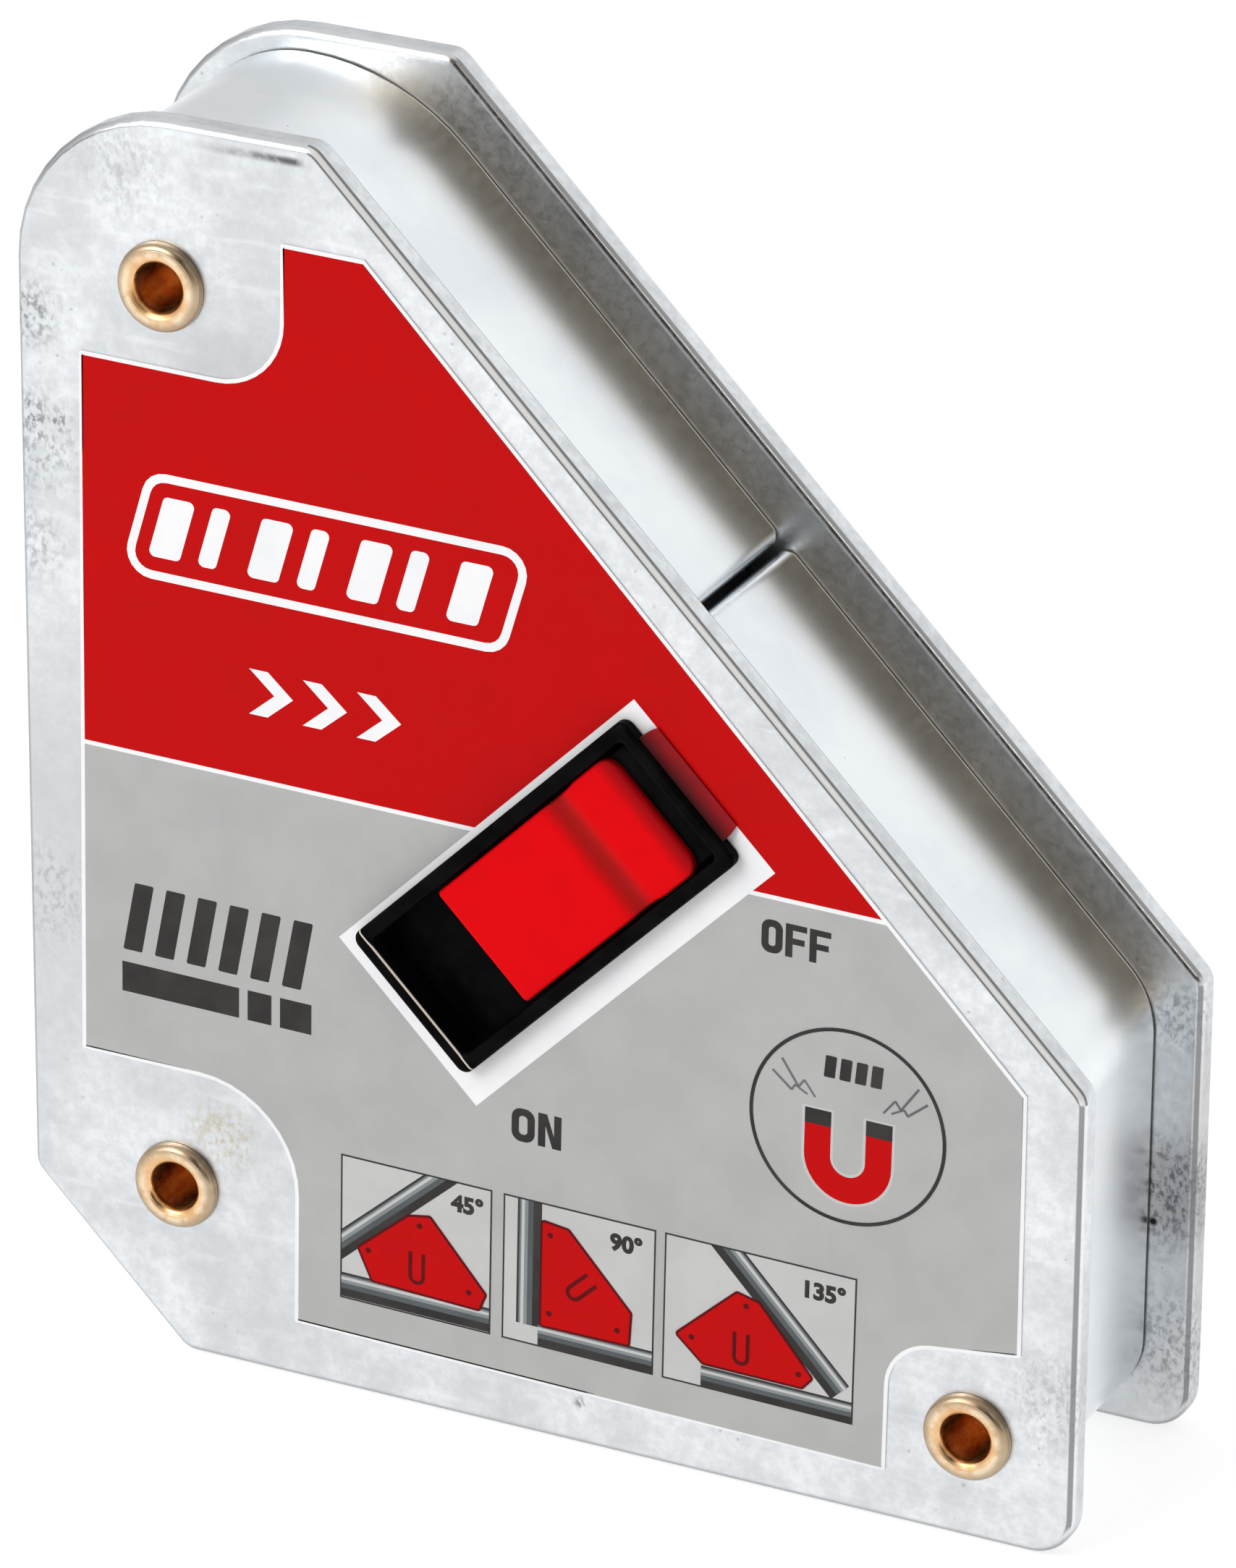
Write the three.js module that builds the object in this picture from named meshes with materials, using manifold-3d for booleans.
// Switchable welding magnet holder, in millimetres, +Z up.
//
// Two steel pole plates stand on edge, one in front of the other, with a bent metal wall, magnets
// and a slide switch between them. The outline is drawn from the lower-left corner of the plates:
// x runs right, z runs up, y runs from the switch side to the back, and y = 0 is the outer face of
// the front plate. The exported group moves that corner so that the origin is under the middle of
// the object, at the height of its lower edge.
//
// The switch slides on a line at 45 degrees. Its pieces share a turned frame: u runs up and to the
// right along the stroke, v runs up and to the left across it. The switch stands at OFF.

import * as THREE from "three";
import { mergeVertices } from "three/addons/utils/BufferGeometryUtils.js";
import Module from "manifold-3d";

const wasm = await Module();
wasm.setup();

// ---------------------------------------------------------------- driving dimensions

// Body outline
const BODY_WIDTH = 95;
const BODY_HEIGHT = 109.4;
const BODY_DEPTH = 26.8;
const SLANT_SUM = 136.4; // x + z along the slanted edge
const CHAMFER_SUM = 14.2; // x + z along the lower-left chamfer
const TOP_LEFT_RADIUS = 13.9;
const LOWER_RIGHT_RADIUS = 3.8;
const CORNER_RADIUS = 2;

// Pole plates
const PLATE_THICKNESS = 2.8;
const PLATE_EDGE_RADIUS = 0.8;

// Bent wall between the plates: where its outer face runs, and how it bends round each corner
const WALL_LEFT = 2.7;
const WALL_BOTTOM = 1.9;
const WALL_RIGHT = 90.9;
const WALL_TOP = 107.6;
const WALL_SLANT_SUM = 130.1;
const WALL_CHAMFER_SUM = 18.4;
const WALL_THICKNESS = 1.2;
const WALL_RADII = { chamfer: 5, lowerRight: 6.2, right: 8, top: 20, topLeft: 11.2 };
const SEAM_X = 57.3;
const SEAM_GAP = 0.7;
const SEAM_LIP = 2.2; // how far each strip end turns in
const LIP_BEND_RADIUS = 0.65;

// Tubular rivets and their spacers
const RIVET_PLACES = { upper_left: [13.4, 95.4], lower_left: [13.7, 15.5], lower_right: [85.75, 9.4] };
const RIVET_BORE_RADIUS = 2.1;
const RIVET_SHANK_RADIUS = 2.6;
const RIVET_HOLE_RADIUS = 2.8;
const RIVET_FLANGE_RADIUS = 3.8;
const RIVET_FLANGE_HEIGHT = 0.9;
const SPACER_BORE_RADIUS = 2.9;
const SPACER_RADIUS = 3.8;

// Front label, drawn square and then stuck on slightly turned, clockwise about its middle
const LABEL_THICKNESS = 0.2;
const LABEL_LEFT = 5.3;
const LABEL_RIGHT = 90.65;
const LABEL_RIGHT_LEAN = 0.4;
const LABEL_BOTTOM = 4.9;
const LABEL_TOP = 100.6;
const LABEL_SLANT_SUM = 131.55;
const LABEL_NOTCHES = {
  topLeft: { x: 23.5, z: 88, radius: 5.8 },
  lowerLeft: { x: 25.3, z: 25.6, radius: 9 },
  lowerRight: { x: 79.2, z: 16.35, radius: 4.2, rise: 1.75 },
};
const LABEL_MIDDLE = [48, 52];
const LABEL_TURN = 0.8; // degrees

// Switch: where its turned frame stands, and the centre of its bezel in that frame
const SWITCH_CENTRE = [48.5, 48.5];
const BEZEL_CENTRE = [0.2, 0.95];
const STROKE = 7.6;

// Bezel
const BEZEL_LENGTH = 34.2;
const BEZEL_WIDTH = 14.6;
const BEZEL_CORNER_RADIUS = 0.9;
const BEZEL_EDGE_RADIUS = 0.4;
const BEZEL_STANDS_PROUD = 1.5;
const BEZEL_BODY_STEP = 0.7; // how far the body is inside the flange all round
const WELL_LENGTH = 31.6;
const WELL_WIDTH = 12;
const WELL_FLOOR = 1.7;
const BEZEL_BASE = 3.2;
const WINDOW_CLEARANCE = 0.2;
const CLIP_WIDTH = 6;
const CLIP_REACH = 0.9;
const CLIP_BOTTOM = 4.2;
const RAMP_LENGTH = 1.4;
const RAMP_WIDTH = 10.5;
const RAMP_HEIGHT = 0.95;

// Slide block, which carries the red grip, and its stem
const BLOCK_LOW_END = -7.7;
const BLOCK_HIGH_END = 15.7;
const BLOCK_WIDTH = 11.5;
const BLOCK_TOP = -0.4;
const STEM_CENTRE = 4;
const STEM_LENGTH = 5.4;
const STEM_WIDTH = 4.2;
const STEM_BOTTOM = 10;
const SLOT_CLEARANCE = 0.3;
const SLIDE_CLEARANCE = 0.15;

// Red grip
const GRIP_LOW_END = -7.7;
const GRIP_HIGH_END = 14;
const GRIP_TOP = -1.1;
const GRIP_WIDTH = 11.4;
const GRIP_HEAD_WIDTH = 11.7;
const GRIP_HEAD_START = 9.3;
const GRIP_GROOVE_CENTRE = 7.1;
const GRIP_GROOVE_HALF_LENGTH = 1.9;
const GRIP_GROOVE_DEPTH = 0.35;
const GRIP_EDGE = 0.25;

// Shunts, pole rails and the carrier that slides between the rails
const SHUNT_LENGTH = 7.2;
const SHUNT_WIDTH = 8;
const SHUNT_CENTRES = [8, 8 - 2 * STROKE];
const ROW_CENTRES = { upper: 12.5, lower: -10.6 };
const RAIL_BASE = 1.5;
const RAIL_END_MARGIN = 0.5;
const RAIL_DEPTH = 4.5;
const PLATE_GAP = 0.1; // between a plate and what stands against it
const CARRIER_GAP = 0.3;
const CARRIER_LOW_END = -13.3;
const CARRIER_HIGH_END = 14.3;
const CARRIER_LOW_SIDE = -16.6;
const CARRIER_HIGH_SIDE = 18.6;
const HUB_LOW_END = -2;
const HUB_HIGH_END = 10;
const HUB_WIDTH = 8.4;
const HUB_TOP = 4.4;
const SOCKET_DEPTH = 1; // below the end of the stem
const POCKET_CLEARANCE = 0.15;

// Detent spring, and the notches that it drops into
const DETENT_U = -1;
const DETENT_THICKNESS = 0.4;
const DETENT_TIP_V = 18;
const DETENT_SEAT_V = 20.9;
const DETENT_HALF_LENGTH = 8.5;
const DETENT_TIP_RADIUS = 0.75;
const DETENT_RISE = 3.5; // half the length of the raised part, along u
const DETENT_FRONT = 10.4;
const DETENT_BACK = 16.4;
const NOTCH_DEPTH = 1.2;
const NOTCH_HALF_LENGTH = 1.7;

// Tray that holds the magnets
const TRAY_CLEARANCE = 0.5; // between the wall's inner face and the tray
const TRAY_FRONT = 4.6;
const TRAY_BACK = 23.7;
const CHANNEL = { lowEnd: -21.6, highEnd: 14.9, lowSide: -17, highSide: 19 };
const SPRING_RECESS = { lowEnd: -10.2, highEnd: 8.2, highSide: 21.8 };
const SPACER_CLEARANCE = 1.6;
const MAGNET_EDGE = 0.6;

// Magnets: left, bottom, right and top of each block
const MAGNET_BLOCKS = {
  upper: [20, 74, 33, 92],
  left: [7.2, 54, 18, 84],
  lower_left: [7.2, 22, 19, 42],
  bottom_left: [20, 7.2, 44, 18],
  bottom_right: [48, 7.2, 76, 18],
  right: [72, 20, 86.5, 39],
};

// Facets
const ARC_STEPS = 8; // per quarter turn
const ROUND_STEPS = 32; // per full turn
const BEVEL_STEPS = 3;

const ROOT_TWO = Math.SQRT2;
const HALF_TURN = Math.PI;

// ---------------------------------------------------------------- materials

const zincPlate = new THREE.MeshStandardMaterial({ color: 0xc9ccce, roughness: 0.42, metalness: 0.85 });
const brightWall = new THREE.MeshStandardMaterial({ color: 0xdfe3e6, roughness: 0.22, metalness: 0.95 });
const brass = new THREE.MeshStandardMaterial({ color: 0xc9a366, roughness: 0.35, metalness: 0.9 });
const machinedSteel = new THREE.MeshStandardMaterial({ color: 0x9a9da0, roughness: 0.5, metalness: 0.85 });
const springSteel = new THREE.MeshStandardMaterial({ color: 0xb4b8bb, roughness: 0.3, metalness: 0.95 });
const ferrite = new THREE.MeshStandardMaterial({ color: 0x2b2b2e, roughness: 0.75, metalness: 0.1 });
const trayPlastic = new THREE.MeshStandardMaterial({ color: 0x3a3b3d, roughness: 0.65, metalness: 0 });
const carrierPlastic = new THREE.MeshStandardMaterial({ color: 0x8e9092, roughness: 0.6, metalness: 0 });
const blackPlastic = new THREE.MeshStandardMaterial({ color: 0x0c0c0d, roughness: 0.2, metalness: 0 });
const redPlastic = new THREE.MeshStandardMaterial({ color: 0xe60a14, roughness: 0.35, metalness: 0 });
const labelFilm = new THREE.MeshStandardMaterial({ color: 0xc61616, roughness: 0.45, metalness: 0 });

// ---------------------------------------------------------------- solids and booleans

function toSolid(geometry) {
  const bare = geometry.clone();
  bare.deleteAttribute("normal");
  bare.deleteAttribute("uv");
  const merged = mergeVertices(bare, 1e-4);
  const vertProperties = new Float32Array(merged.attributes.position.array);
  const triVerts = new Uint32Array(merged.index.array);
  return new wasm.Manifold(new wasm.Mesh({ numProp: 3, vertProperties, triVerts }));
}

function toGeometry(solid) {
  const mesh = solid.getMesh();
  const geometry = new THREE.BufferGeometry();
  geometry.setAttribute("position", new THREE.BufferAttribute(mesh.vertProperties, 3));
  geometry.setIndex(new THREE.BufferAttribute(mesh.triVerts, 1));
  geometry.computeVertexNormals();
  return geometry;
}

function cut(geometry, ...tools) {
  const solid = tools.reduce((left, tool) => left.subtract(toSolid(tool)), toSolid(geometry));
  return toGeometry(solid);
}

function join(geometry, ...others) {
  const solid = others.reduce((sum, other) => sum.add(toSolid(other)), toSolid(geometry));
  return toGeometry(solid);
}

// ---------------------------------------------------------------- outlines

// A corner is [x, z, radius]. The arc that rounds it has as many points as its turn needs.
function roundedCorner(before, corner, after) {
  const point = new THREE.Vector2(corner[0], corner[1]);
  const radius = corner[2] ?? 0;
  if (radius === 0) return [point];
  const back = new THREE.Vector2(before[0], before[1]).sub(point).normalize();
  const ahead = new THREE.Vector2(after[0], after[1]).sub(point).normalize();
  const halfAngle = Math.acos(THREE.MathUtils.clamp(back.dot(ahead), -1, 1)) / 2;
  const turn = HALF_TURN - 2 * halfAngle;
  const centreDistance = radius / Math.sin(halfAngle);
  const centre = back.clone().add(ahead).normalize().multiplyScalar(centreDistance).add(point);
  const start = back.multiplyScalar(radius / Math.tan(halfAngle)).add(point).sub(centre);
  const side = Math.sign(start.clone().cross(point.clone().sub(centre)));
  const steps = Math.max(2, Math.ceil((turn / HALF_TURN) * 2 * ARC_STEPS));
  return Array.from({ length: steps + 1 }, (_, i) =>
    start.clone().rotateAround(new THREE.Vector2(), (side * turn * i) / steps).add(centre),
  );
}

function closedLoop(corners) {
  const count = corners.length;
  return corners.flatMap((corner, i) =>
    roundedCorner(corners[(i + count - 1) % count], corner, corners[(i + 1) % count]),
  );
}

function openPath(corners) {
  const last = corners.length - 1;
  return corners.flatMap((corner, i) =>
    i === 0 || i === last
      ? [new THREE.Vector2(corner[0], corner[1])]
      : roundedCorner(corners[i - 1], corner, corners[i + 1]),
  );
}

// The strip of the given thickness whose middle line is the path.
function stripLoop(path, thickness) {
  const sides = [1, -1].map((side) =>
    path.map((point, i) => {
      const before = path[Math.max(i - 1, 0)];
      const after = path[Math.min(i + 1, path.length - 1)];
      const along = after.clone().sub(before).normalize();
      return new THREE.Vector2(-along.y, along.x).multiplyScalar((side * thickness) / 2).add(point);
    }),
  );
  return [...sides[1], ...sides[0].reverse()];
}

function rectangle(low, high, radius = 0) {
  return closedLoop([
    [low[0], low[1], radius],
    [high[0], low[1], radius],
    [high[0], high[1], radius],
    [low[0], high[1], radius],
  ]);
}

function centredRectangle(centre, length, width, radius = 0) {
  return rectangle(
    [centre[0] - length / 2, centre[1] - width / 2],
    [centre[0] + length / 2, centre[1] + width / 2],
    radius,
  );
}

const PLATE_CORNERS = [
  [CHAMFER_SUM, 0, CORNER_RADIUS],
  [BODY_WIDTH, 0, LOWER_RIGHT_RADIUS],
  [BODY_WIDTH, SLANT_SUM - BODY_WIDTH, CORNER_RADIUS],
  [SLANT_SUM - BODY_HEIGHT, BODY_HEIGHT, CORNER_RADIUS],
  [0, BODY_HEIGHT, TOP_LEFT_RADIUS],
  [0, CHAMFER_SUM, CORNER_RADIUS],
];

// The corners of the wall's outer face, moved inwards.
function wallCorners(inwards) {
  const left = WALL_LEFT + inwards;
  const bottom = WALL_BOTTOM + inwards;
  const right = WALL_RIGHT - inwards;
  const top = WALL_TOP - inwards;
  const slant = WALL_SLANT_SUM - inwards * ROOT_TWO;
  const chamfer = WALL_CHAMFER_SUM + inwards * ROOT_TWO;
  return [
    [chamfer - bottom, bottom, WALL_RADII.chamfer - inwards],
    [right, bottom, WALL_RADII.lowerRight - inwards],
    [right, slant - right, WALL_RADII.right - inwards],
    [slant - top, top, WALL_RADII.top - inwards],
    [left, top, WALL_RADII.topLeft - inwards],
    [left, chamfer - left, WALL_RADII.chamfer - inwards],
  ];
}

// ---------------------------------------------------------------- shapes in the plates' plane

// A flat outline, with a rounded edge if asked, that fills the space from one y to another.
function slab(loop, front, back, edgeRadius = 0) {
  const geometry = new THREE.ExtrudeGeometry(new THREE.Shape(loop), {
    depth: back - front - 2 * edgeRadius,
    bevelEnabled: edgeRadius > 0,
    bevelThickness: edgeRadius,
    bevelSize: edgeRadius,
    bevelOffset: -edgeRadius,
    bevelSegments: BEVEL_STEPS,
  });
  geometry.rotateX(HALF_TURN / 2);
  geometry.translate(0, back - edgeRadius, 0);
  return geometry;
}

// A profile of [along u, y] points that fills the space from one v to another.
function ridge(profile, lowSide, highSide) {
  const shape = new THREE.Shape(profile.map(([u, y]) => new THREE.Vector2(u, y)));
  const geometry = new THREE.ExtrudeGeometry(shape, { depth: highSide - lowSide, bevelEnabled: false });
  geometry.translate(0, 0, lowSide);
  return geometry;
}

// A solid of revolution about the y direction, from [radius, y] points that close on themselves.
function turned(profile, [x, z]) {
  const points = [...profile, profile[0]].map(([radius, y]) => new THREE.Vector2(radius, y));
  const geometry = new THREE.LatheGeometry(points, ROUND_STEPS);
  geometry.translate(x, 0, z);
  return geometry;
}

function tube(innerRadius, outerRadius, front, back, place) {
  return turned(
    [
      [innerRadius, front],
      [outerRadius, front],
      [outerRadius, back],
      [innerRadius, back],
    ],
    place,
  );
}

function drill(radius, front, back, [x, z]) {
  const geometry = new THREE.CylinderGeometry(radius, radius, back - front, ROUND_STEPS);
  geometry.translate(x, (front + back) / 2, z);
  return geometry;
}

// Turns a shape drawn in the switch's frame into the plates' frame.
function intoPlateFrame(geometry) {
  geometry.rotateY(-HALF_TURN / 4);
  geometry.translate(SWITCH_CENTRE[0], 0, SWITCH_CENTRE[1]);
  return geometry;
}

function named(name, geometry, material) {
  const mesh = new THREE.Mesh(geometry, material);
  mesh.name = name;
  return mesh;
}

// ---------------------------------------------------------------- shell of the holder

const INNER_FRONT = PLATE_THICKNESS;
const INNER_BACK = BODY_DEPTH - PLATE_THICKNESS;
const CUT_MARGIN = 1;

function plate(front) {
  const outline = closedLoop(PLATE_CORNERS);
  const holes = Object.values(RIVET_PLACES).map((place) =>
    drill(RIVET_HOLE_RADIUS, front - CUT_MARGIN, front + PLATE_THICKNESS + CUT_MARGIN, place),
  );
  return cut(slab(outline, front, front + PLATE_THICKNESS, PLATE_EDGE_RADIUS), ...holes);
}

function switchWindow(front, back, growth) {
  const length = BEZEL_LENGTH - 2 * BEZEL_BODY_STEP + 2 * growth;
  const width = BEZEL_WIDTH - 2 * BEZEL_BODY_STEP + 2 * growth;
  return intoPlateFrame(slab(centredRectangle(BEZEL_CENTRE, length, width), front, back));
}

function frontPlate() {
  const opening = switchWindow(-CUT_MARGIN, PLATE_THICKNESS + CUT_MARGIN, WINDOW_CLEARANCE);
  return named("front_plate", cut(plate(0), opening), zincPlate);
}

function backPlate() {
  return named("back_plate", plate(INNER_BACK), zincPlate);
}

function bentWall() {
  const corners = wallCorners(WALL_THICKNESS / 2);
  const slantStart = corners.findIndex(([, z]) => z > BODY_HEIGHT / 2) - 1;
  const middleSlantSum = corners[slantStart][0] + corners[slantStart][1];
  const inwards = (WALL_SLANT_SUM - middleSlantSum) / 2;
  const seam = [SEAM_X - inwards, WALL_SLANT_SUM - SEAM_X - inwards];
  const step = (SEAM_GAP + WALL_THICKNESS) / 2 / ROOT_TWO;
  const lip = SEAM_LIP / ROOT_TWO;
  const below = [seam[0] + step, seam[1] - step, LIP_BEND_RADIUS];
  const above = [seam[0] - step, seam[1] + step, LIP_BEND_RADIUS];
  const path = openPath([
    [above[0] - lip, above[1] - lip],
    above,
    ...corners.slice(slantStart + 1),
    ...corners.slice(0, slantStart + 1),
    below,
    [below[0] - lip, below[1] - lip],
  ]);
  const front = INNER_FRONT + PLATE_GAP / 2;
  const back = INNER_BACK - PLATE_GAP / 2;
  return named("bent_wall", slab(stripLoop(path, WALL_THICKNESS), front, back), brightWall);
}

// A rivet is one tube whose two ends are rolled over into round-topped flanges.
function rivet(name, place) {
  const middle = (RIVET_BORE_RADIUS + RIVET_FLANGE_RADIUS) / 2;
  const rollHalf = (RIVET_FLANGE_RADIUS - RIVET_BORE_RADIUS) / 2;
  const roll = Array.from({ length: ARC_STEPS + 1 }, (_, i) => {
    const angle = (HALF_TURN * i) / ARC_STEPS;
    return [middle - rollHalf * Math.cos(angle), RIVET_FLANGE_HEIGHT * Math.sin(angle)];
  });
  const seat = PLATE_GAP / 2;
  const frontEnd = roll.map(([radius, height]) => [radius, -seat - height]);
  const backEnd = roll.map(([radius, height]) => [radius, BODY_DEPTH + seat + height]).reverse();
  const shank = [
    [RIVET_SHANK_RADIUS, -seat],
    [RIVET_SHANK_RADIUS, BODY_DEPTH + seat],
  ];
  return named("rivet_" + name, turned([...frontEnd, ...shank, ...backEnd], place), brass);
}

function spacer(name, place) {
  const front = INNER_FRONT + PLATE_GAP;
  const back = INNER_BACK - PLATE_GAP;
  return named("spacer_" + name, tube(SPACER_BORE_RADIUS, SPACER_RADIUS, front, back, place), machinedSteel);
}

function label() {
  const { topLeft, lowerLeft, lowerRight } = LABEL_NOTCHES;
  const slantRight = LABEL_RIGHT - LABEL_RIGHT_LEAN;
  const outline = closedLoop([
    [lowerLeft.x, LABEL_BOTTOM],
    [lowerRight.x, LABEL_BOTTOM],
    [lowerRight.x, lowerRight.z, lowerRight.radius],
    [LABEL_RIGHT, lowerRight.z + lowerRight.rise],
    [slantRight, LABEL_SLANT_SUM - slantRight],
    [LABEL_SLANT_SUM - LABEL_TOP, LABEL_TOP],
    [topLeft.x, LABEL_TOP],
    [topLeft.x, topLeft.z, topLeft.radius],
    [LABEL_LEFT, topLeft.z],
    [LABEL_LEFT, lowerLeft.z],
    [lowerLeft.x, lowerLeft.z, lowerLeft.radius],
  ]);
  const film = slab(outline, -LABEL_THICKNESS - PLATE_GAP / 2, -PLATE_GAP / 2);
  film.translate(-LABEL_MIDDLE[0], 0, -LABEL_MIDDLE[1]);
  film.rotateY(THREE.MathUtils.degToRad(LABEL_TURN));
  film.translate(LABEL_MIDDLE[0], 0, LABEL_MIDDLE[1]);
  const opening = switchWindow(-CUT_MARGIN, CUT_MARGIN, 2 * WINDOW_CLEARANCE);
  return named("front_label", cut(film, opening), labelFilm);
}

// ---------------------------------------------------------------- switch, in its turned frame

// The flange rests on the label, so its underside clears the film.
const FLANGE_UNDERSIDE = -LABEL_THICKNESS - PLATE_GAP;

function bezel() {
  const [centreU, centreV] = BEZEL_CENTRE;
  const flangeLoop = centredRectangle(BEZEL_CENTRE, BEZEL_LENGTH, BEZEL_WIDTH, BEZEL_CORNER_RADIUS);
  const bodyLength = BEZEL_LENGTH - 2 * BEZEL_BODY_STEP;
  const bodyWidth = BEZEL_WIDTH - 2 * BEZEL_BODY_STEP;
  const flangeMiddle = -BEZEL_STANDS_PROUD + BEZEL_EDGE_RADIUS;
  const flangeTop = slab(flangeLoop, -BEZEL_STANDS_PROUD, FLANGE_UNDERSIDE, BEZEL_EDGE_RADIUS);
  const flangeFoot = slab(flangeLoop, flangeMiddle, FLANGE_UNDERSIDE);
  const body = slab(centredRectangle(BEZEL_CENTRE, bodyLength, bodyWidth), flangeMiddle, BEZEL_BASE);
  const clips = [-1, 1].map((side) => {
    const inner = centreU + side * (bodyLength / 2 - CLIP_REACH);
    const outer = centreU + side * (bodyLength / 2 + CLIP_REACH);
    const root = centreU + side * (bodyLength / 2);
    const stalk = ridge(
      [[inner, BEZEL_BASE - CUT_MARGIN], [inner, CLIP_BOTTOM], [root, CLIP_BOTTOM],
        [outer, PLATE_THICKNESS + PLATE_GAP + CLIP_REACH / 2], [outer, PLATE_THICKNESS + PLATE_GAP],
        [root, PLATE_THICKNESS + PLATE_GAP], [root, BEZEL_BASE - CUT_MARGIN]],
      centreV - CLIP_WIDTH / 2,
      centreV + CLIP_WIDTH / 2,
    );
    return stalk;
  });
  const rampStart = centreU + BEZEL_LENGTH / 2 - BEZEL_EDGE_RADIUS;
  const rampEnd = centreU + BEZEL_LENGTH / 2 + RAMP_LENGTH;
  const ramp = ridge(
    [[rampStart, FLANGE_UNDERSIDE - RAMP_HEIGHT], [rampEnd, FLANGE_UNDERSIDE], [rampStart, FLANGE_UNDERSIDE]],
    centreV - RAMP_WIDTH / 2,
    centreV + RAMP_WIDTH / 2,
  );
  const wellLoop = centredRectangle(BEZEL_CENTRE, WELL_LENGTH, WELL_WIDTH, BEZEL_EDGE_RADIUS);
  const well = slab(wellLoop, -BEZEL_STANDS_PROUD - CUT_MARGIN, WELL_FLOOR);
  const slotLow = STEM_CENTRE - STEM_LENGTH / 2 - STROKE - SLOT_CLEARANCE;
  const slotHigh = STEM_CENTRE + STEM_LENGTH / 2 + SLOT_CLEARANCE;
  const slotHalf = STEM_WIDTH / 2 + SLOT_CLEARANCE;
  const slotLoop = rectangle([slotLow, centreV - slotHalf], [slotHigh, centreV + slotHalf]);
  const slot = slab(slotLoop, WELL_FLOOR - CUT_MARGIN, BEZEL_BASE + CUT_MARGIN);
  const whole = join(flangeTop, flangeFoot, body, ramp, ...clips);
  return named("switch_bezel", cut(whole, well, slot), blackPlastic);
}

function slideBlock() {
  const centreV = BEZEL_CENTRE[1];
  const blockLoop = rectangle(
    [BLOCK_LOW_END, centreV - BLOCK_WIDTH / 2],
    [BLOCK_HIGH_END, centreV + BLOCK_WIDTH / 2],
    BEZEL_EDGE_RADIUS,
  );
  const block = slab(blockLoop, BLOCK_TOP, WELL_FLOOR - SLIDE_CLEARANCE);
  const stemLoop = centredRectangle([STEM_CENTRE, centreV], STEM_LENGTH, STEM_WIDTH, BEZEL_EDGE_RADIUS);
  const stem = slab(stemLoop, BLOCK_TOP + CUT_MARGIN, STEM_BOTTOM);
  return named("slide_block", join(block, stem), blackPlastic);
}

// The grip's top runs flat, dips into a thumb groove and rises again to a slightly wider head.
function gripProfile() {
  const base = BLOCK_TOP - PLATE_GAP / 2;
  const grooveSteps = 2 * ARC_STEPS;
  const groove = Array.from({ length: grooveSteps + 1 }, (_, i) => {
    const along = (2 * i) / grooveSteps - 1;
    const dip = (GRIP_GROOVE_DEPTH * (1 + Math.cos(HALF_TURN * along))) / 2;
    return [GRIP_GROOVE_CENTRE + GRIP_GROOVE_HALF_LENGTH * along, GRIP_TOP + dip];
  });
  return [
    [GRIP_LOW_END, base],
    [GRIP_LOW_END, GRIP_TOP + GRIP_EDGE],
    [GRIP_LOW_END + GRIP_EDGE, GRIP_TOP],
    ...groove,
    [GRIP_HIGH_END - GRIP_EDGE, GRIP_TOP],
    [GRIP_HIGH_END, GRIP_TOP + GRIP_EDGE],
    [GRIP_HIGH_END, base],
  ];
}

function redGrip() {
  const centreV = BEZEL_CENTRE[1];
  const profile = gripProfile();
  const headProfile = [
    [GRIP_HEAD_START, profile[0][1]],
    [GRIP_HEAD_START, GRIP_TOP],
    ...profile.slice(-3),
  ];
  const slim = ridge(profile, centreV - GRIP_WIDTH / 2, centreV + GRIP_WIDTH / 2);
  const head = ridge(headProfile, centreV - GRIP_HEAD_WIDTH / 2, centreV + GRIP_HEAD_WIDTH / 2);
  return named("red_grip", join(slim, head), redPlastic);
}

// ---------------------------------------------------------------- works behind the switch

const FRONT_RAIL_SEAT = INNER_FRONT + PLATE_GAP;
const BACK_RAIL_SEAT = INNER_BACK - PLATE_GAP;
const CARRIER_FRONT = FRONT_RAIL_SEAT + RAIL_DEPTH + CARRIER_GAP;
const CARRIER_BACK = BACK_RAIL_SEAT - RAIL_DEPTH - CARRIER_GAP;

// A pole rail is a bar against a plate with one tooth over each shunt of its row.
function poleRail(name, seat, towards, rowV) {
  const firstTooth = SHUNT_CENTRES.at(-1) - SHUNT_LENGTH / 2;
  const lastTooth = SHUNT_CENTRES[0] + SHUNT_LENGTH / 2;
  const root = seat + towards * RAIL_BASE;
  const tip = seat + towards * RAIL_DEPTH;
  const low = [firstTooth - RAIL_END_MARGIN, rowV - SHUNT_WIDTH / 2];
  const high = [lastTooth + RAIL_END_MARGIN, rowV + SHUNT_WIDTH / 2];
  const bar = slab(rectangle(low, high), Math.min(seat, root), Math.max(seat, root));
  const teeth = SHUNT_CENTRES.map((centre) =>
    slab(
      centredRectangle([centre, rowV], SHUNT_LENGTH, SHUNT_WIDTH),
      Math.min(seat, tip),
      Math.max(seat, tip),
    ),
  );
  return named(name, join(bar, ...teeth), machinedSteel);
}

function shunt(name, centre, rowV) {
  const loop = centredRectangle([centre, rowV], SHUNT_LENGTH, SHUNT_WIDTH);
  const proud = PLATE_GAP / 2;
  return named(name, slab(loop, CARRIER_FRONT - proud, CARRIER_BACK + proud), machinedSteel);
}

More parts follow.
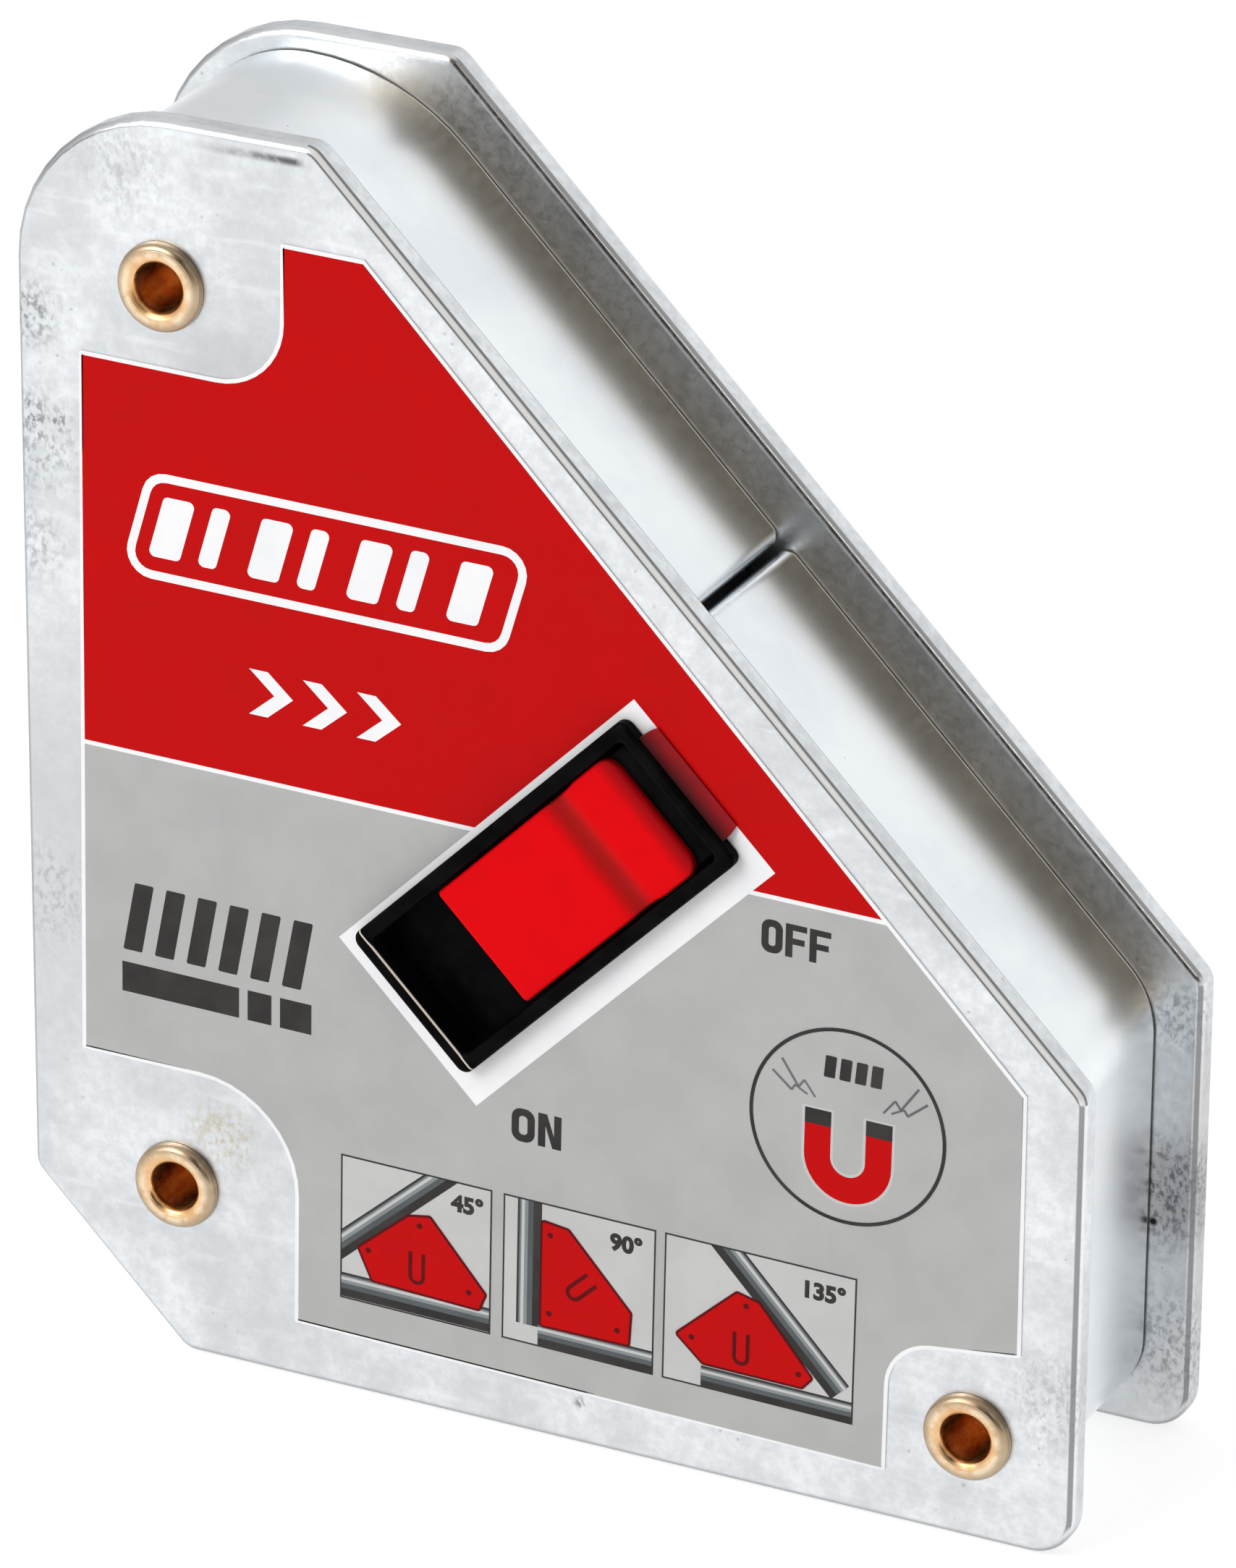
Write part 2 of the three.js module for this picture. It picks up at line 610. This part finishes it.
function notchProfile(centre) {
  return closedLoop([
    [centre - NOTCH_HALF_LENGTH, CARRIER_HIGH_SIDE + CUT_MARGIN],
    [centre - NOTCH_HALF_LENGTH, CARRIER_HIGH_SIDE],
    [centre, CARRIER_HIGH_SIDE - NOTCH_DEPTH],
    [centre + NOTCH_HALF_LENGTH, CARRIER_HIGH_SIDE],
    [centre + NOTCH_HALF_LENGTH, CARRIER_HIGH_SIDE + CUT_MARGIN],
  ]);
}

function shuntCarrier() {
  const centreV = BEZEL_CENTRE[1];
  const frameLoop = rectangle([CARRIER_LOW_END, CARRIER_LOW_SIDE], [CARRIER_HIGH_END, CARRIER_HIGH_SIDE]);
  const hubLow = [HUB_LOW_END, centreV - HUB_WIDTH / 2];
  const hubHigh = [HUB_HIGH_END, centreV + HUB_WIDTH / 2];
  const frame = slab(frameLoop, CARRIER_FRONT, CARRIER_BACK);
  const hub = slab(rectangle(hubLow, hubHigh), HUB_TOP, CARRIER_FRONT + CUT_MARGIN);
  const pocketLength = SHUNT_LENGTH + 2 * POCKET_CLEARANCE;
  const pocketWidth = SHUNT_WIDTH + 2 * POCKET_CLEARANCE;
  const pockets = Object.values(ROW_CENTRES).flatMap((rowV) =>
    SHUNT_CENTRES.map((centre) =>
      slab(
        centredRectangle([centre, rowV], pocketLength, pocketWidth),
        CARRIER_FRONT - CUT_MARGIN,
        CARRIER_BACK + CUT_MARGIN,
      ),
    ),
  );
  const socketLoop = centredRectangle(
    [STEM_CENTRE, centreV],
    STEM_LENGTH + 2 * POCKET_CLEARANCE,
    STEM_WIDTH + 2 * POCKET_CLEARANCE,
  );
  const socket = slab(socketLoop, HUB_TOP - CUT_MARGIN, STEM_BOTTOM + SOCKET_DEPTH);
  const notches = [DETENT_U, DETENT_U + STROKE].map((centre) =>
    slab(notchProfile(centre), CARRIER_FRONT - CUT_MARGIN, CARRIER_BACK + CUT_MARGIN),
  );
  return named("shunt_carrier", cut(join(frame, hub), ...pockets, socket, ...notches), carrierPlastic);
}

function detentSpring() {
  const path = openPath([
    [DETENT_U - DETENT_HALF_LENGTH, DETENT_SEAT_V],
    [DETENT_U - DETENT_RISE, DETENT_SEAT_V, CORNER_RADIUS],
    [DETENT_U, DETENT_TIP_V, DETENT_TIP_RADIUS],
    [DETENT_U + DETENT_RISE, DETENT_SEAT_V, CORNER_RADIUS],
    [DETENT_U + DETENT_HALF_LENGTH, DETENT_SEAT_V],
  ]);
  const leaf = slab(stripLoop(path, DETENT_THICKNESS), DETENT_FRONT, DETENT_BACK);
  return named("detent_spring", leaf, springSteel);
}

// ---------------------------------------------------------------- magnets and their tray

function magnetLoop([left, bottom, right, top], growth) {
  return rectangle([left - growth, bottom - growth], [right + growth, top + growth]);
}

function magnet(name, block) {
  const geometry = slab(magnetLoop(block, 0), INNER_FRONT + PLATE_GAP, INNER_BACK - PLATE_GAP, MAGNET_EDGE);
  return named("magnet_" + name, geometry, ferrite);
}

function magnetTray() {
  const outline = closedLoop(wallCorners(WALL_THICKNESS + TRAY_CLEARANCE));
  const front = TRAY_FRONT - CUT_MARGIN;
  const back = TRAY_BACK + CUT_MARGIN;
  const magnetPockets = Object.values(MAGNET_BLOCKS).map((block) =>
    slab(magnetLoop(block, POCKET_CLEARANCE), front, back),
  );
  const spacerHoles = Object.values(RIVET_PLACES).map((place) =>
    drill(SPACER_RADIUS + SPACER_CLEARANCE, front, back, place),
  );
  const channel = slab(
    rectangle([CHANNEL.lowEnd, CHANNEL.lowSide], [CHANNEL.highEnd, CHANNEL.highSide]),
    front,
    back,
  );
  const springRecess = slab(
    rectangle([SPRING_RECESS.lowEnd, CHANNEL.lowSide], [SPRING_RECESS.highEnd, SPRING_RECESS.highSide]),
    front,
    back,
  );
  const seamRelief = seamPocket(front, back);
  const tray = cut(
    slab(outline, TRAY_FRONT, TRAY_BACK),
    ...magnetPockets,
    ...spacerHoles,
    intoPlateFrame(channel),
    intoPlateFrame(springRecess),
    seamRelief,
  );
  return named("magnet_tray", tray, trayPlastic);
}

// Room in the tray for the two strip ends that turn in at the wall's seam.
function seamPocket(front, back) {
  const reach = (SEAM_LIP + WALL_THICKNESS) / ROOT_TWO;
  const half = (SEAM_GAP / 2 + WALL_THICKNESS + LIP_BEND_RADIUS) / ROOT_TWO;
  const inwards = WALL_THICKNESS / ROOT_TWO;
  const middle = [SEAM_X - inwards, WALL_SLANT_SUM - SEAM_X - inwards];
  const outer = [middle[0] + reach, middle[1] + reach];
  const inner = [middle[0] - reach, middle[1] - reach];
  return slab(
    closedLoop([
      [inner[0] - half, inner[1] + half],
      [inner[0] + half, inner[1] - half],
      [outer[0] + half, outer[1] - half],
      [outer[0] - half, outer[1] + half],
    ]),
    front,
    back,
  );
}

// ---------------------------------------------------------------- assembly

const switchFrame = new THREE.Group();
switchFrame.position.set(SWITCH_CENTRE[0], 0, SWITCH_CENTRE[1]);
switchFrame.rotation.y = -HALF_TURN / 4;
switchFrame.add(bezel(), slideBlock(), redGrip(), shuntCarrier(), detentSpring());
for (const [row, rowV] of Object.entries(ROW_CENTRES)) {
  switchFrame.add(poleRail("front_pole_rail_" + row, FRONT_RAIL_SEAT, 1, rowV));
  switchFrame.add(poleRail("back_pole_rail_" + row, BACK_RAIL_SEAT, -1, rowV));
  SHUNT_CENTRES.forEach((centre, i) => {
    switchFrame.add(shunt("shunt_" + row + "_" + (i + 1), centre, rowV));
  });
}

const holder = new THREE.Group();
const middleDepth = (BODY_DEPTH + PLATE_GAP / 2 + RIVET_FLANGE_HEIGHT - BEZEL_STANDS_PROUD) / 2;
holder.position.set(-BODY_WIDTH / 2, -middleDepth, 0);
holder.add(frontPlate(), backPlate(), bentWall(), label(), magnetTray(), switchFrame);
for (const [name, place] of Object.entries(RIVET_PLACES)) {
  holder.add(rivet(name, place), spacer(name, place));
}
for (const [name, block] of Object.entries(MAGNET_BLOCKS)) {
  holder.add(magnet(name, block));
}

const weldingMagnetHolder = new THREE.Group();
weldingMagnetHolder.add(holder);

export default weldingMagnetHolder;
